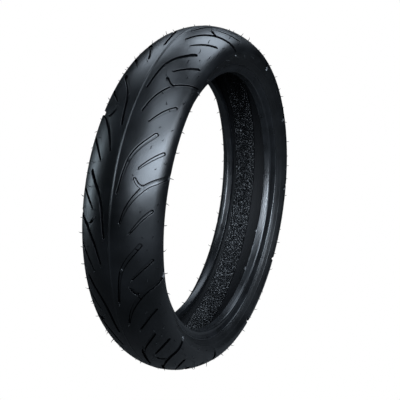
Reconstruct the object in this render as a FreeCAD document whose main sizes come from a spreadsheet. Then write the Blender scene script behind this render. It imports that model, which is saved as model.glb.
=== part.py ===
"""Tubeless motorcycle tire for a 17 inch rim, built up from its separate layers.

Frame: millimetres, +Z up, the wheel axis along Y, origin at the wheel centre on the tire's centre plane.
Every ring is a section drawn in the XY plane (X is the radius, Y runs along the axle) and revolved about Y.

The section is laid out on three circles. The crown arc is centred on the centre plane and the shoulder arc
is tangent to it; the layers of the casing are offsets of those two arcs. The third circle runs round the
bead wires: each body ply leaves the shoulder on a straight side, goes in under the bead and is turned up
outside it.
A tread position is given by an arc distance from the crown and an angle round the axle.
"""

import FreeCAD, Part
import math
import os

import Sketcher

LEFT, RIGHT = 1, -1
SIDE_NAMES = {LEFT: "left", RIGHT: "right"}

SIZES = {
    "outer_radius": 291.5,
    "crown_arc": 88.0,
    "crown_angle": 40.0,
    "shoulder_arc": 26.5,
    "tread_edge_angle": 84.0,
    "inner_belt_angle": 72.0,
    "outer_belt_angle": 64.0,
    "cap_gauge": 6.6,
    "base_gauge": 2.0,
    "belt_gauge": 0.8,
    "ply_gauge": 0.8,
    "liner_gauge": 1.0,
    "parting_rib_height": 0.35,
    "parting_rib_width": 0.8,
    "bead_seat_radius": 218.3,
    "bead_seat_length": 8.0,
    "bead_toe_offset": 33.5,
    "bead_toe_drop": 0.7,
    "bead_toe_length": 2.0,
    "bead_heel_radius": 3.7,
    "rim_strip_gauge": 1.6,
    "wrap_outer_radius": 4.0,
    "wrap_inner_radius": 3.55,
    "wrap_lap_angle": 9.0,
    "wire_diameter": 1.15,
    "wire_pitch": 1.2,
    "turnup_angle": 105.0,
    "turnup_outer_length": 10.5,
    "turnup_inner_length": 9.0,
    "rim_strip_height": 7.0,
    "rim_line_radius": 231.5,
    "rim_line_offset": 52.3,
    "rim_line_angle": 134.0,
    "rim_line_rise": 0.7,
    "rim_line_width": 1.5,
    "flange_hollow": 14.0,
    "buttress_radius": 4.0,
    "buttress_end_angle": 120.0,
    "sidewall_arc": 90.0,
    "flash_gauge": 0.3,
    "flash_reach": 2.5,
    "flash_sweep": 28.0,
    "pitch_count": 11.0,
    "pattern_start": 11.5,
    "left_half_shift": 0.4,
    "groove_depth": 4.0,
    "groove_draft": 0.6,
    "wear_bar_height": 1.2,
    "wear_bar_length": 6.0,
    "spew_diameter": 1.0,
    "spew_length": 6.0,
    "edge_spew_count": 44.0,
}

WIRES_ACROSS = 4
EDGE_SPEW_ARC = 88.0
FLASH_START_ANGLE = -55.0

# How far a groove's cutter stands out of the tread, how finely its course is sampled, how many sections
# it has between its ends, and the share of its width that it has at these distances from an end, in
# groove widths.
CUTTER_OVERSHOOT = 2.5
COURSE_SAMPLES = 200
MIDDLE_SECTIONS = 5
END_SECTIONS = [(0.0, 0.6), (0.5, 1.0)]

# The wear bar stands between the middle two path points of its groove, a little rooted in the floor.
WEAR_BAR_ROOT = 0.3
WEAR_BAR_POSITION = 0.5

# Where the long arc under a bead is divided, so that each half is less than a half turn.
UNDER_BEAD = "200"

# Grooves of one pitch of one tread half. Each point of a path is (degrees round the axle from the start
# of the pitch, arc distance in mm from the crown). width is the groove's width in mm at even steps along
# it, and share is the part of the full groove depth that it has at its two ends.
GROOVES = {
    "long_groove": {
        "path": [(1.6, 46.5), (3.8, 37.5), (6.6, 26.5), (9.8, 18.0), (14.1, 13.0), (20.1, 8.5)],
        "width": (6.6, 6.0, 4.8, 3.6),
        "share": (0.9, 1.0),
    },
    "short_groove": {
        "path": [(6.5, 64.0), (8.9, 50.0), (12.2, 33.5)],
        "width": (5.4, 4.6, 3.0),
        "share": (0.85, 0.85),
    },
    "edge_groove": {
        "path": [(12.4, 86.5), (15.1, 63.3), (16.8, 50.0), (19.6, 37.0), (23.8, 24.0), (28.1, 16.2)],
        "width": (7.2, 7.8, 7.0, 5.0, 3.4),
        "share": (0.6, 1.0),
    },
    "edge_groove_spur": {
        "path": [(17.6, 46.0), (17.0, 37.5), (15.4, 30.5)],
        "width": (5.4, 5.2, 4.6),
        "share": (0.9, 0.9),
    },
    "slant_groove": {
        "path": [(24.1, 60.5), (26.1, 50.0), (28.3, 40.8), (30.9, 31.0)],
        "width": (5.4, 4.6, 2.8),
        "share": (0.85, 0.85),
    },
}

# Mould vents of one pitch of one tread half: (degrees from the start of the pitch, arc distance in mm).
TREAD_VENTS = [
    (6.1, 44.0), (12.3, 56.0), (24.0, 46.0), (14.4, 26.5),
    (31.6, 65.0), (31.9, 48.0), (9.0, 70.0), (21.6, 68.0),
]


def new_sheet(doc):
    """The driving dimensions, one alias to a cell."""
    sheet = doc.addObject("Spreadsheet::Sheet", "Sizes")
    for row, (name, value) in enumerate(SIZES.items(), start=1):
        sheet.set(f"A{row}", name)
        sheet.set(f"B{row}", str(value))
        sheet.setAlias(f"B{row}", name)
    doc.recompute()
    return sheet


def new_layout(doc):
    """Centres and layer radii worked out from the sheet, each a property with its own expression."""
    layout = doc.addObject("App::FeaturePython", "Layout")
    derived = {
        "crown_centre": "Sizes.outer_radius - Sizes.crown_arc",
        "shoulder_y": "(Sizes.crown_arc - Sizes.shoulder_arc) * sin(Sizes.crown_angle)",
        "shoulder_r": "Layout.crown_centre + (Sizes.crown_arc - Sizes.shoulder_arc) * cos(Sizes.crown_angle)",
        "cap_bottom": "Sizes.cap_gauge",
        "base_bottom": "Layout.cap_bottom + Sizes.base_gauge",
        "outer_belt_bottom": "Layout.base_bottom + Sizes.belt_gauge",
        "inner_belt_bottom": "Layout.outer_belt_bottom + Sizes.belt_gauge",
        "outer_ply_bottom": "Layout.inner_belt_bottom + Sizes.ply_gauge",
        "inner_ply_bottom": "Layout.outer_ply_bottom + Sizes.ply_gauge",
        "cavity": "Layout.inner_ply_bottom + Sizes.liner_gauge",
        "outer_ply_wrap": "Sizes.wrap_outer_radius + Sizes.ply_gauge",
        "inner_ply_wrap": "Layout.outer_ply_wrap + Sizes.ply_gauge",
        "liner_wrap": "Layout.inner_ply_wrap + Sizes.liner_gauge",
        "bead_y": "Sizes.bead_toe_offset + Layout.liner_wrap",
        "bead_r": "Sizes.bead_seat_radius + Sizes.rim_strip_gauge + Layout.inner_ply_wrap",
        "bead_dy": "Layout.bead_y - Layout.shoulder_y",
        "bead_dr": "Layout.bead_r - Layout.shoulder_r",
        "wall_span": "Sizes.shoulder_arc - Layout.cavity + Layout.liner_wrap",
        "wall_angle": "atan2(Layout.bead_dy; Layout.bead_dr)"
        " - acos(Layout.wall_span / sqrt(Layout.bead_dy ^ 2 + Layout.bead_dr ^ 2))",
    }
    for name in derived:
        layout.addProperty("App::PropertyFloat", name, "Layout")
    for name, expression in derived.items():
        layout.setExpression(name, expression.replace("Layout.", ""))
        doc.recompute()
    return layout


class Point:
    """A section point: expressions for its radius and distance along the axle, and where they put it now."""

    def __init__(self, radius, along):
        self.radius, self.along = radius, along
        self.x = evaluate(radius)
        self.y = evaluate(along)

    def mirrored(self, side):
        if side == LEFT:
            return self
        return Point(self.radius, f"-({self.along})")


def evaluate(expression):
    value = SHEET.evalExpression(expression)
    return float(getattr(value, "Value", value))


def around(centre, radius, angle):
    """The point at this radius and angle round a centre. The angle runs from outward, towards the side."""
    centre_r, centre_y = centre
    return Point(
        f"{centre_r} + ({radius}) * cos({angle})",
        f"{centre_y} + ({radius}) * sin({angle})",
    )


def on_turnup(wrap, along):
    """A point on the turned-up part of a ply, outside the bead, this far above where it leaves the bead."""
    return Point(
        f"Layout.bead_r + ({wrap}) * cos(Sizes.turnup_angle) + ({along}) * sin(Sizes.turnup_angle)",
        f"Layout.bead_y + ({wrap}) * sin(Sizes.turnup_angle) - ({along}) * cos(Sizes.turnup_angle)",
    )


def arc_centre(start, end, radius, turn):
    """Centre of the arc from start to end. turn is +1 for anticlockwise in the section plane."""
    mid_x, mid_y = (start.x + end.x) / 2, (start.y + end.y) / 2
    chord = math.hypot(end.x - start.x, end.y - start.y)
    rise = math.sqrt(max(radius**2 - chord**2 / 4, 0.0))
    return (
        mid_x - turn * rise * (end.y - start.y) / chord,
        mid_y + turn * rise * (end.x - start.x) / chord,
    )


def draw_loop(sketch, start, steps):
    """Draws a closed loop. A step is (point,) for a line and (point, radius, turn) for an arc."""
    points = [start] + [step[0] for step in steps]
    ends = []
    for here, there, step in zip(points, points[1:], steps):
        if len(step) == 1:
            first, last = FreeCAD.Vector(here.x, here.y, 0), FreeCAD.Vector(there.x, there.y, 0)
            index = sketch.addGeometry(Part.LineSegment(first, last), False)
            ends.append((index, 1, 2))
            continue
        radius, turn = evaluate(step[1]), step[2]
        cx, cy = arc_centre(here, there, radius, turn)
        circle = Part.Circle(FreeCAD.Vector(cx, cy, 0), FreeCAD.Vector(0, 0, 1), radius)
        here_angle = math.atan2(here.y - cy, here.x - cx)
        there_angle = math.atan2(there.y - cy, there.x - cx)
        first, last = (here_angle, there_angle) if turn > 0 else (there_angle, here_angle)
        if last < first:
            last += 2 * math.pi
        index = sketch.addGeometry(Part.ArcOfCircle(circle, first, last), False)
        ends.append((index, 1, 2) if turn > 0 else (index, 2, 1))
        bind(sketch, "Radius", (index, radius), step[1])
    for (index, _, last), (next_index, first, _) in zip(ends, ends[1:] + ends[:1]):
        add_constraint(sketch, "Coincident", index, last, next_index, first)
    for (index, first, _), point in zip(ends, points):
        bind(sketch, "DistanceX", (-1, 1, index, first, point.x), point.radius)
        bind(sketch, "DistanceY", (-1, 1, index, first, point.y), point.along)


def add_constraint(sketch, kind, *values):
    return sketch.addConstraint(Sketcher.Constraint(kind, *values))


def bind(sketch, kind, values, expression):
    """Adds a dimension and ties it to its expression."""
    number = add_constraint(sketch, kind, *values)
    sketch.setExpression(f"Constraints[{number}]", expression)


def origin_feature(body, role):
    return next(feature for feature in body.Origin.OriginFeatures if feature.Role == role)


def ring(label, start, steps):
    """A body made by revolving one closed section about the wheel axis."""
    body = DOC.addObject("PartDesign::Body", label)
    body.Label = label
    sketch = body.newObject("Sketcher::SketchObject", f"{label}_section")
    sketch.AttachmentSupport = (origin_feature(body, "XY_Plane"), [""])
    sketch.MapMode = "FlatFace"
    draw_loop(sketch, start, steps)
    turned = body.newObject("PartDesign::Revolution", f"{label}_ring")
    turned.Profile = (sketch, [""])
    turned.ReferenceAxis = (sketch, ["V_Axis"])
    turned.Angle = 360.0
    sketch.Visibility = False
    return body


CROWN = ("Layout.crown_centre", "0")
SHOULDER = ("Layout.shoulder_r", "Layout.shoulder_y")
BEAD = ("Layout.bead_r", "Layout.bead_y")


def crown_point(depth, side):
    return around(CROWN, f"Sizes.crown_arc - {depth}", "Sizes.crown_angle").mirrored(side)


def shoulder_point(depth, angle, side):
    return around(SHOULDER, f"Sizes.shoulder_arc - {depth}", angle).mirrored(side)


def crown_steps(depth, angle, side):
    """From this shoulder over the crown to the other one, on the surface this deep below the tread."""
    return [
        (crown_point(depth, side), f"Sizes.shoulder_arc - {depth}", -side),
        (crown_point(depth, -side), f"Sizes.crown_arc - {depth}", -side),
        (shoulder_point(depth, angle, -side), f"Sizes.shoulder_arc - {depth}", -side),
    ]


def layer(label, top, bottom, angle):
    """A layer of the crown between two depths, ending square at the same angle on both shoulders."""
    steps = crown_steps(top, angle, LEFT)
    steps.append((shoulder_point(bottom, angle, RIGHT),))
    steps += crown_steps(bottom, angle, RIGHT)
    steps.append((shoulder_point(top, angle, LEFT),))
    return ring(label, shoulder_point(top, angle, LEFT), steps)


def tread_blank():
    """The tread cap before its grooves are cut, with the mould's fine parting rib round the crown."""
    angle = "Sizes.tread_edge_angle"
    top, bottom = "0", "Layout.cap_bottom"
    half_rib = "Sizes.parting_rib_width / 2"
    rib_foot = Point(f"Layout.crown_centre + sqrt(Sizes.crown_arc ^ 2 - ({half_rib}) ^ 2)", half_rib)
    rib_top = Point("Sizes.outer_radius + Sizes.parting_rib_height", half_rib)
    steps = [
        (crown_point(top, LEFT), "Sizes.shoulder_arc", -1),
        (rib_foot, "Sizes.crown_arc", -1),
        (rib_top,),
        (rib_top.mirrored(RIGHT),),
        (rib_foot.mirrored(RIGHT),),
        (crown_point(top, RIGHT), "Sizes.crown_arc", -1),
        (shoulder_point(top, angle, RIGHT), "Sizes.shoulder_arc", -1),
        (shoulder_point(bottom, angle, RIGHT),),
    ]
    steps += crown_steps(bottom, angle, RIGHT)
    steps.append((shoulder_point(top, angle, LEFT),))
    return ring("tread_blank", shoulder_point(top, angle, LEFT), steps)


def belt_edge_strip(side):
    """Soft rubber that fills the step beyond the two belts, under the tread base."""
    name = f"belt_edge_strip_{SIDE_NAMES[side]}"
    tread_edge = "Sizes.tread_edge_angle"
    inner, outer = "Sizes.inner_belt_angle", "Sizes.outer_belt_angle"
    top, middle, bottom = "Layout.base_bottom", "Layout.outer_belt_bottom", "Layout.inner_belt_bottom"
    start = shoulder_point(top, outer, side)
    steps = [
        (shoulder_point(top, tread_edge, side), f"Sizes.shoulder_arc - {top}", side),
        (shoulder_point(bottom, tread_edge, side),),
        (shoulder_point(bottom, inner, side), f"Sizes.shoulder_arc - {bottom}", -side),
        (shoulder_point(middle, inner, side),),
        (shoulder_point(middle, outer, side), f"Sizes.shoulder_arc - {middle}", -side),
        (start,),
    ]
    return ring(name, start, steps)


def wall_foot(wrap, side):
    """Where a surface of the casing meets its circle round the bead, on the cavity side."""
    return around(BEAD, wrap, "Layout.wall_angle + 180").mirrored(side)


def under_bead(wrap, side, outward):
    """Round the bead on one surface of a ply, from its straight side to its turn-up or back."""
    foot, low = wall_foot(wrap, side), around(BEAD, wrap, UNDER_BEAD).mirrored(side)
    rise = on_turnup(wrap, "0").mirrored(side)
    if outward:
        return [(foot,), (low, wrap, -side), (rise, wrap, -side)]
    return [(rise,), (low, wrap, side), (foot, wrap, side)]


def ply(label, top, bottom, inner_wrap, outer_wrap, turnup):
    """A body ply: over the crown, down both sides, in under each bead and up outside it."""
    wall = "Layout.wall_angle"
    start = shoulder_point(top, wall, LEFT)
    steps = crown_steps(top, wall, LEFT)
    steps += under_bead(inner_wrap, RIGHT, True)
    steps.append((on_turnup(inner_wrap, turnup).mirrored(RIGHT),))
    steps.append((on_turnup(outer_wrap, turnup).mirrored(RIGHT),))
    steps += under_bead(outer_wrap, RIGHT, False)
    steps.append((shoulder_point(bottom, wall, RIGHT),))
    steps += crown_steps(bottom, wall, RIGHT)
    steps += under_bead(outer_wrap, LEFT, True)
    steps.append((on_turnup(outer_wrap, turnup),))
    steps.append((on_turnup(inner_wrap, turnup),))
    steps += under_bead(inner_wrap, LEFT, False)
    steps.append((start,))
    return ring(label, start, steps)


def inner_liner():
    """The airtight rubber skin of the cavity, from bead toe to bead toe."""
    top, bottom = "Layout.inner_ply_bottom", "Layout.cavity"
    inner, outer = "Layout.inner_ply_wrap", "Layout.liner_wrap"
    wall = "Layout.wall_angle"
    start = shoulder_point(top, wall, LEFT)
    steps = crown_steps(top, wall, LEFT)
    steps += [
        (wall_foot(inner, RIGHT),),
        (around(BEAD, inner, "270").mirrored(RIGHT), inner, 1),
        (around(BEAD, outer, "270").mirrored(RIGHT),),
        (wall_foot(outer, RIGHT), outer, -1),
        (shoulder_point(bottom, wall, RIGHT),),
    ]
    steps += crown_steps(bottom, wall, RIGHT)
    steps += [
        (wall_foot(outer, LEFT),),
        (around(BEAD, outer, "270"), outer, -1),
        (around(BEAD, inner, "270"),),
        (wall_foot(inner, LEFT), inner, 1),
        (start,),
    ]
    return ring("inner_liner", start, steps)


def bead_filler(side):
    """The hard rubber wedge that stands on the bead between the body plies and their turn-ups."""
    wrap, height = "Sizes.wrap_outer_radius", "Sizes.turnup_outer_length"
    start = wall_foot(wrap, side)
    steps = [
        (above_foot(wrap, height, side),),
        (on_turnup(wrap, height).mirrored(side),),
        (on_turnup(wrap, "0").mirrored(side),),
        (start, wrap, -side),
    ]
    return ring(f"bead_filler_{SIDE_NAMES[side]}", start, steps)


def above_foot(wrap, rise, side):
    """A point on the straight side of the casing, this far above where that surface meets the bead circle."""
    return Point(
        f"Layout.bead_r - ({wrap}) * cos(Layout.wall_angle) + ({rise}) * sin(Layout.wall_angle)",
        f"Layout.bead_y - ({wrap}) * sin(Layout.wall_angle) - ({rise}) * cos(Layout.wall_angle)",
    ).mirrored(side)


def rim_line_point(rise, down, side):
    """A corner of the rim line, the thin rib that shows whether the tire sits evenly on its rim."""
    angle = "Sizes.rim_line_angle"
    return Point(
        f"Sizes.rim_line_radius + ({rise}) * cos({angle}) - ({down}) * sin({angle})",
        f"Sizes.rim_line_offset + ({rise}) * sin({angle}) + ({down}) * cos({angle})",
    ).mirrored(side)


def rim_strip(side):
    """The hard rubber of the bead: toe, seat that grips the rim, heel and hollow for the rim flange."""
    seat, toe = "Sizes.bead_seat_radius", "Sizes.bead_toe_offset"
    seat_start = f"{toe} + Sizes.bead_toe_length"
    seat_end = f"{seat_start} + Sizes.bead_seat_length"
    wrap, heel = "Layout.inner_ply_wrap", "Sizes.bead_heel_radius"
    start = rim_line_point("0", "0", side)
    steps = [
        (rim_line_point("Sizes.rim_line_rise", "0", side),),
        (rim_line_point("Sizes.rim_line_rise", "Sizes.rim_line_width", side),),
        (rim_line_point("0", "Sizes.rim_line_width", side),),
        (Point(f"{seat} + {heel}", f"{seat_end} + {heel}").mirrored(side), "Sizes.flange_hollow", -side),
        (Point(seat, seat_end).mirrored(side), heel, side),
        (Point(seat, seat_start).mirrored(side),),
        (Point(f"{seat} - Sizes.bead_toe_drop", toe).mirrored(side),),
        (around(BEAD, "Layout.liner_wrap", "270").mirrored(side),),
        (around(BEAD, wrap, "270").mirrored(side),),
        (around(BEAD, wrap, UNDER_BEAD).mirrored(side), wrap, -side),
        (on_turnup(wrap, "0").mirrored(side), wrap, -side),
        (on_turnup(wrap, "Sizes.rim_strip_height").mirrored(side),),
        (start,),
    ]
    return ring(f"rim_strip_{SIDE_NAMES[side]}", start, steps)


def sidewall_blank(side):
    """The flexing side rubber from the tread's edge to the rim strip, before the grooves run into it."""
    edge, wall = "Sizes.tread_edge_angle", "Layout.wall_angle"
    buttress = ("Layout.shoulder_r", "(Layout.shoulder_y + Sizes.shoulder_arc - Sizes.buttress_radius)")
    outer_wrap, middle_wrap = "Layout.inner_ply_wrap", "Layout.outer_ply_wrap"
    inner_wrap = "Sizes.wrap_outer_radius"
    high, low = "Sizes.turnup_outer_length", "Sizes.turnup_inner_length"
    casing = "Layout.inner_belt_bottom"
    start = shoulder_point("0", edge, side)
    steps = [
        (shoulder_point("0", "90", side), "Sizes.shoulder_arc", side),
        (around(buttress, "Sizes.buttress_radius", "Sizes.buttress_end_angle").mirrored(side),
         "Sizes.buttress_radius", side),
        (rim_line_point("0", "0", side), "Sizes.sidewall_arc", side),
        (on_turnup(outer_wrap, "Sizes.rim_strip_height").mirrored(side),),
        (on_turnup(outer_wrap, low).mirrored(side),),
        (on_turnup(middle_wrap, low).mirrored(side),),
        (on_turnup(middle_wrap, high).mirrored(side),),
        (on_turnup(inner_wrap, high).mirrored(side),),
        (above_foot(inner_wrap, high, side),),
        (shoulder_point(casing, wall, side),),
        (shoulder_point(casing, edge, side), f"Sizes.shoulder_arc - {casing}", -side),
        (start,),
    ]
    return ring(f"sidewall_blank_{SIDE_NAMES[side]}", start, steps)


def bead_wrap(side):
    """The fabric tape wound round the bead wires, its two edges meeting on top."""
    outer, inner = "Sizes.wrap_outer_radius", "Sizes.wrap_inner_radius"
    first, last = "Sizes.wrap_lap_angle / 2", "360 - Sizes.wrap_lap_angle / 2"
    start = around(BEAD, outer, first).mirrored(side)
    steps = [
        (around(BEAD, outer, "180").mirrored(side), outer, side),
        (around(BEAD, outer, last).mirrored(side), outer, side),
        (around(BEAD, inner, last).mirrored(side),),
        (around(BEAD, inner, "180").mirrored(side), inner, -side),
        (around(BEAD, inner, first).mirrored(side), inner, -side),
        (start,),
    ]
    return ring(f"bead_wrap_{SIDE_NAMES[side]}", start, steps)


def torus(name, radius, along, thickness):
    """A round ring about the wheel axis. thickness is the radius of its section."""
    hoop = DOC.addObject("Part::Torus", name)
    hoop.Placement = FreeCAD.Placement(FreeCAD.Vector(0, 0, 0), FreeCAD.Rotation(FreeCAD.Vector(1, 0, 0), 90))
    hoop.setExpression("Radius1", radius)
    hoop.setExpression("Radius2", thickness)
    hoop.setExpression(".Placement.Base.y", along)
    return hoop


def bead_wires(side):
    """The square bundle of steel hoops that keeps the bead from stretching off its seat."""
    name = f"bead_wires_{SIDE_NAMES[side]}"
    hoops = []
    for row in range(WIRES_ACROSS):
        for column in range(WIRES_ACROSS):
            across = column - (WIRES_ACROSS - 1) / 2
            above = row - (WIRES_ACROSS - 1) / 2
            radius = f"Layout.bead_r + {above} * Sizes.wire_pitch"
            along = f"{side} * (Layout.bead_y + {across} * Sizes.wire_pitch)"
            wire = f"wire_{SIDE_NAMES[side]}_{row}_{column}"
            hoops.append(torus(wire, radius, along, "Sizes.wire_diameter / 2"))
    bundle = DOC.addObject("Part::Compound", name)
    bundle.Label = name
    bundle.Links = hoops
    return bundle


def bead_rubber(side, wires):
    """The rubber that coats the bead wires and fills the wrap."""
    name = f"bead_rubber_{SIDE_NAMES[side]}"
    along = f"{side} * Layout.bead_y"
    core = torus(f"bead_core_{SIDE_NAMES[side]}", "Layout.bead_r", along, "Sizes.wrap_inner_radius")
    return cut(name, core, wires)


def cut(name, base, tool):
    difference = DOC.addObject("Part::Cut", name)
    difference.Label = name
    difference.Base = base
    difference.Tool = tool
    return difference


class Tread:
    """The outside of the tread and buttress, addressed by degrees round the axle and arc from the crown."""

    def __init__(self):
        self.arc_radius = SHEET.crown_arc
        self.turn = math.radians(SHEET.crown_angle)
        self.crown_centre = LAYOUT.crown_centre
        self.shoulder = (LAYOUT.shoulder_r, LAYOUT.shoulder_y)
        self.shoulder_radius = SHEET.shoulder_arc

    def place(self, degrees, arc, side):
        """The point on the surface and the direction straight out of it."""
        crown_length = self.arc_radius * self.turn
        if arc <= crown_length:
            lean = arc / self.arc_radius
            radius = self.crown_centre + self.arc_radius * math.cos(lean)
            along = self.arc_radius * math.sin(lean)
        else:
            lean = self.turn + (arc - crown_length) / self.shoulder_radius
            radius = self.shoulder[0] + self.shoulder_radius * math.cos(lean)
            along = self.shoulder[1] + self.shoulder_radius * math.sin(lean)
        turn = math.radians(degrees)
        spoke = FreeCAD.Vector(math.cos(turn), 0, math.sin(turn))
        sideways = FreeCAD.Vector(0, side, 0)
        return spoke * radius + sideways * along, spoke * math.cos(lean) + sideways * math.sin(lean)

    def pitch_angle(self, index, side):
        """Where a pitch of the pattern starts. The left half is moved round by part of a pitch."""
        pitch = 360 / SHEET.pitch_count
        shift = SHEET.left_half_shift if side == LEFT else 0
        return SHEET.pattern_start + (index + shift) * pitch


class Course:
    """A groove's smooth centre line over the tread, with the distance along it at each of its samples."""

    def __init__(self, groove):
        curve = Part.BSplineCurve()
        curve.interpolate([FreeCAD.Vector(degrees, arc, 0) for degrees, arc in groove["path"]])
        first, last = curve.FirstParameter, curve.LastParameter
        shares = [number / COURSE_SAMPLES for number in range(COURSE_SAMPLES + 1)]
        self.samples = [curve.value(first + (last - first) * share) for share in shares]
        scale = math.radians(1) * SHEET.outer_radius
        self.reached = [0.0]
        for before, after in zip(self.samples, self.samples[1:]):
            step = math.hypot((after.x - before.x) * scale, after.y - before.y)
            self.reached.append(self.reached[-1] + step)
        self.length = self.reached[-1]

    def frame(self, tread, distance, side):
        """The point of the tread this far along the groove, the way out of it and the way across."""
        where = min(range(len(self.reached)), key=lambda number: abs(self.reached[number] - distance))
        behind, ahead = self.samples[max(where - 2, 0)], self.samples[min(where + 2, COURSE_SAMPLES)]
        here, out = tread.place(self.samples[where].x, self.samples[where].y, side)
        forward = tread.place(ahead.x, ahead.y, side)[0] - tread.place(behind.x, behind.y, side)[0]
        return here, out, out.cross(forward).normalize()


def groove_stations(length, width):
    """Places along a groove: (distance from its start, share of its width), close together at its ends."""
    begin = [(reach * width[0], share) for reach, share in END_SECTIONS]
    finish = [(length - reach * width[-1], share) for reach, share in reversed(END_SECTIONS)]
    first, last = begin[-1][0], finish[0][0]
    step = (last - first) / (MIDDLE_SECTIONS + 1)
    middle = [(first + step * (number + 1), 1.0) for number in range(MIDDLE_SECTIONS)]
    return begin + middle + finish


def between(values, part):
    """The value at this part of the way along a list of evenly spaced values."""
    place = part * (len(values) - 1)
    index = min(int(place), len(values) - 2)
    return values[index] + (values[index + 1] - values[index]) * (place - index)


def groove_cutter(tread, name, side):
    """The solid that a groove takes away: slightly tapered walls, and a floor that follows the tread."""
    groove = GROOVES[name]
    course = Course(groove)
    wires = []
    for distance, narrowing in groove_stations(course.length, groove["width"]):
        here, out, across = course.frame(tread, distance, side)
        part = distance / course.length
        half = between(groove["width"], part) / 2 * narrowing
        depth = SHEET.groove_depth * between(groove["share"], part)
        floor = half - SHEET.groove_draft * narrowing
        top = half + (half - floor) * CUTTER_OVERSHOOT / depth
        corners = [
            here + out * CUTTER_OVERSHOOT + across * top,
            here - out * depth + across * floor,
            here - out * depth - across * floor,
            here + out * CUTTER_OVERSHOOT - across * top,
        ]
        wires.append(Part.makePolygon(corners + corners[:1]))
    return Part.makeLoft(wires, True, False, False, 3)


def turned(shape, degrees):
    """A copy of the shape turned round the axle, in the direction from X to Z."""
    copy = shape.copy()
    copy.rotate(FreeCAD.Vector(0, 0, 0), FreeCAD.Vector(0, -1, 0), degrees)
    return copy


def wear_bar(tread, name, side):
    """The block left standing on a groove's floor: level with the tread when the tire is worn out."""
    path = GROOVES[name]["path"]
    before, after = path[len(path) // 2 - 1], path[len(path) // 2]
    degrees, arc = (start + (end - start) * WEAR_BAR_POSITION for start, end in zip(before, after))
    here, out = tread.place(degrees, arc, side)
    forward = (tread.place(*after, side)[0] - tread.place(*before, side)[0]).normalize()
    across = out.cross(forward).normalize()
    length, width = SHEET.wear_bar_length, 3 * max(GROOVES[name]["width"])
    corner = FreeCAD.Vector(-length / 2, -width / 2, -WEAR_BAR_ROOT)
    block = Part.makeBox(length, width, SHEET.wear_bar_height + WEAR_BAR_ROOT, corner)
    foot = here - out * SHEET.groove_depth
    block.transformShape(FreeCAD.Matrix(
        forward.x, across.x, out.x, foot.x,
        forward.y, across.y, out.y, foot.y,
        forward.z, across.z, out.z, foot.z,
        0, 0, 0, 1,
    ))
    return block


def pitch_cutters(tread, side):
    """The cutters of one pitch of one half. The long groove keeps its wear bar; the spur joins its groove."""
    cutters = {name: groove_cutter(tread, name, side) for name in GROOVES}
    cutters["long_groove"] = cutters["long_groove"].cut(wear_bar(tread, "long_groove", side))
    spur = cutters.pop("edge_groove_spur")
    cutters["edge_groove"] = cutters["edge_groove"].fuse(spur)
    return list(cutters.values())


def round_the_tire(tread, solids, side):
    """These cutters of one pitch, repeated in every pitch of their half."""
    angles = [tread.pitch_angle(index, side) for index in range(int(SHEET.pitch_count))]
    return [turned(solid, angle) for angle in angles for solid in solids]


def hold(name, shapes):
    """A plain feature that holds these shapes."""
    feature = DOC.addObject("Part::Feature", name)
    feature.Label = name
    feature.Shape = Part.makeCompound(shapes)
    return feature


def tread_cap(tread):
    """The wearing rubber with its pattern: each half has the same grooves, the left half moved round."""
    shapes = []
    for side in (LEFT, RIGHT):
        shapes += round_the_tire(tread, pitch_cutters(tread, side), side)
    return cut("tread_cap", tread_blank(), hold("tread_cutters", shapes))


def sidewall(tread, side):
    """The side rubber, notched at its top where the edge grooves run out."""
    cutters = round_the_tire(tread, [groove_cutter(tread, "edge_groove", side)], side)
    notches = hold(f"edge_cutters_{SIDE_NAMES[side]}", cutters)
    return cut(f"sidewall_{SIDE_NAMES[side]}", sidewall_blank(side), notches)


def spews(name, tread, places, side):
    """Hair-like threads of rubber left standing where the mould let its air out."""
    hairs = []
    for degrees, arc in places:
        foot, out = tread.place(degrees, arc, side)
        hairs.append(Part.makeCylinder(SHEET.spew_diameter / 2, SHEET.spew_length, foot, out))
    return hold(name, hairs)


def tread_spews(tread, side):
    places = []
    for index in range(int(SHEET.pitch_count)):
        start = tread.pitch_angle(index, side)
        places += [(start + degrees, arc) for degrees, arc in TREAD_VENTS]
    return spews(f"tread_vent_spews_{SIDE_NAMES[side]}", tread, places, side)


def edge_spews(tread, side):
    count = int(SHEET.edge_spew_count)
    places = [(360 * index / count, EDGE_SPEW_ARC) for index in range(count)]
    return spews(f"sidewall_vent_spews_{SIDE_NAMES[side]}", tread, places, side)


def bead_flash():
    """A fin of mould flash that carries part of the right seat's surface on past the bead toe."""
    toe_r, toe_y = "(Sizes.bead_seat_radius - Sizes.bead_toe_drop)", "Sizes.bead_toe_offset"
    start = Point(toe_r, toe_y).mirrored(RIGHT)
    steps = [
        (Point(toe_r, f"{toe_y} - Sizes.flash_reach").mirrored(RIGHT),),
        (Point(f"{toe_r} + Sizes.flash_gauge", f"{toe_y} - Sizes.flash_reach").mirrored(RIGHT),),
        (Point(f"{toe_r} + Sizes.flash_gauge", toe_y).mirrored(RIGHT),),
        (start,),
    ]
    body = ring("bead_flash_right", start, steps)
    body.Tip.setExpression("Angle", "Sizes.flash_sweep")
    body.Placement = FreeCAD.Placement(
        FreeCAD.Vector(0, 0, 0), FreeCAD.Rotation(FreeCAD.Vector(0, -1, 0), FLASH_START_ANGLE)
    )
    return body


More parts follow.
